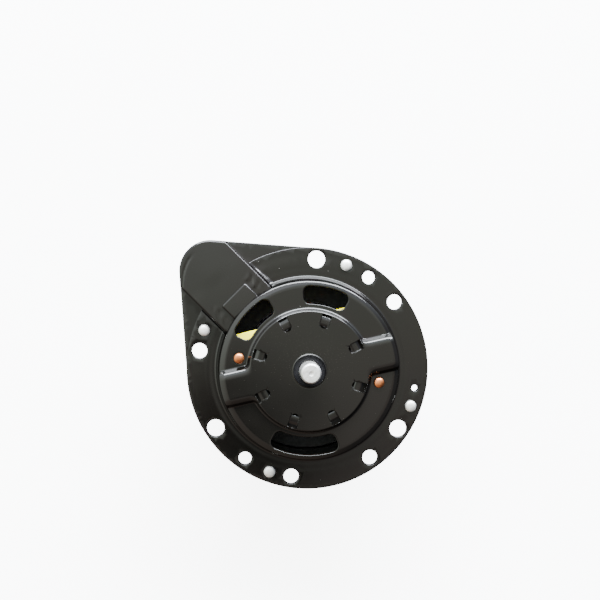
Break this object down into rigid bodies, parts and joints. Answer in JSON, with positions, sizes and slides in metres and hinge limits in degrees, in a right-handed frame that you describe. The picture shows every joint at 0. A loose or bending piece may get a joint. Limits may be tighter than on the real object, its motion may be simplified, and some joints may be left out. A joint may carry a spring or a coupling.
{
  "type": "combustion fan",
  "caption": "Combustion-air fan: brushed DC motor in a black teardrop mounting plate with a cooling-air duct, and a radial fan wheel on the far shaft end.",
  "frame": {"origin": "on the shaft axis, in the back plane of the mounting plate", "axes": "+Z along the shaft towards the brush end, +Y along the cooling-air duct to the plate's corner"},
  "size_m": [0.1, 0.1196, 0.094],
  "materials": {
    "black_enamel": "gloss black stoving enamel",
    "bright_steel": "turned and ground steel",
    "zinc_plate": "bright zinc plate",
    "copper": "bare copper",
    "enamelled_wire": "varnished copper wire",
    "lamination_steel": "oiled lamination steel",
    "ferrite": "matte ground ferrite",
    "yellow_card": "laminated paper board",
    "brass": "stamped brass",
    "brush_carbon": "copper-graphite",
    "black_nylon": "moulded nylon",
    "cast_aluminium": "die-cast",
    "insulating_sleeve": "shrunk sleeve"
  },
  "bodies": {
    "frame": {"mounting_plate": "black_enamel", "motor_flange": "black_enamel", "motor_can": "black_enamel", "plate_rivet_1": "zinc_plate", "plate_rivet_2": "zinc_plate", "plate_rivet_3": "zinc_plate", "plate_rivet_4": "zinc_plate", "rear_bearing_outer": "bright_steel", "front_bearing_outer": "bright_steel", "wave_washer": "bright_steel", "magnet_1": "ferrite", "magnet_2": "ferrite", "magnet_clip_1": "bright_steel", "magnet_clip_2": "bright_steel", "brush_card": "yellow_card", "card_rivet_1": "copper", "card_rivet_2": "copper", "brush_holder_1": "brass", "brush_holder_2": "brass", "brush_spring_1": "bright_steel", "brush_spring_2": "bright_steel", "choke_1": "insulating_sleeve", "choke_2": "insulating_sleeve", "drive_end_plate": "cast_aluminium", "end_screw_1": "zinc_plate", "end_screw_2": "zinc_plate", "end_screw_3": "zinc_plate", "terminal_socket": "black_nylon", "terminal_blade_1": "brass", "terminal_blade_2": "brass"},
    "rotor": {"shaft": "bright_steel", "shaft_circlip": "bright_steel", "rear_bearing_inner": "bright_steel", "front_bearing_inner": "bright_steel", "armature_spacer": "bright_steel", "armature_core": "lamination_steel", "armature_windings": "enamelled_wire", "commutator": "copper", "impeller_wheel": "cast_aluminium", "impeller_shroud": "cast_aluminium", "impeller_hub": "bright_steel", "hub_set_screw": "zinc_plate"},
    "brush_a": {"brush_1": "brush_carbon"},
    "brush_b": {"brush_2": "brush_carbon"}
  },
  "joints": [
    {"name": "rotor_spin", "type": "hinge", "parent": "frame", "child": "rotor", "pos_m": [0, 0, 0], "axis": [0, 0, 1], "continuous": true},
    {"name": "brush_1_slide", "type": "slide", "parent": "frame", "child": "brush_a", "axis": [-0.8572, 0.515, 0], "range_m": [0, 0.003], "stiffness_N_per_m": 150, "springref_m": -0.004, "deforming": ["brush_spring_1"]},
    {"name": "brush_2_slide", "type": "slide", "parent": "frame", "child": "brush_b", "axis": [0.8572, -0.515, 0], "range_m": [0, 0.003], "stiffness_N_per_m": 150, "springref_m": -0.004, "deforming": ["brush_spring_2"]}
  ]
}
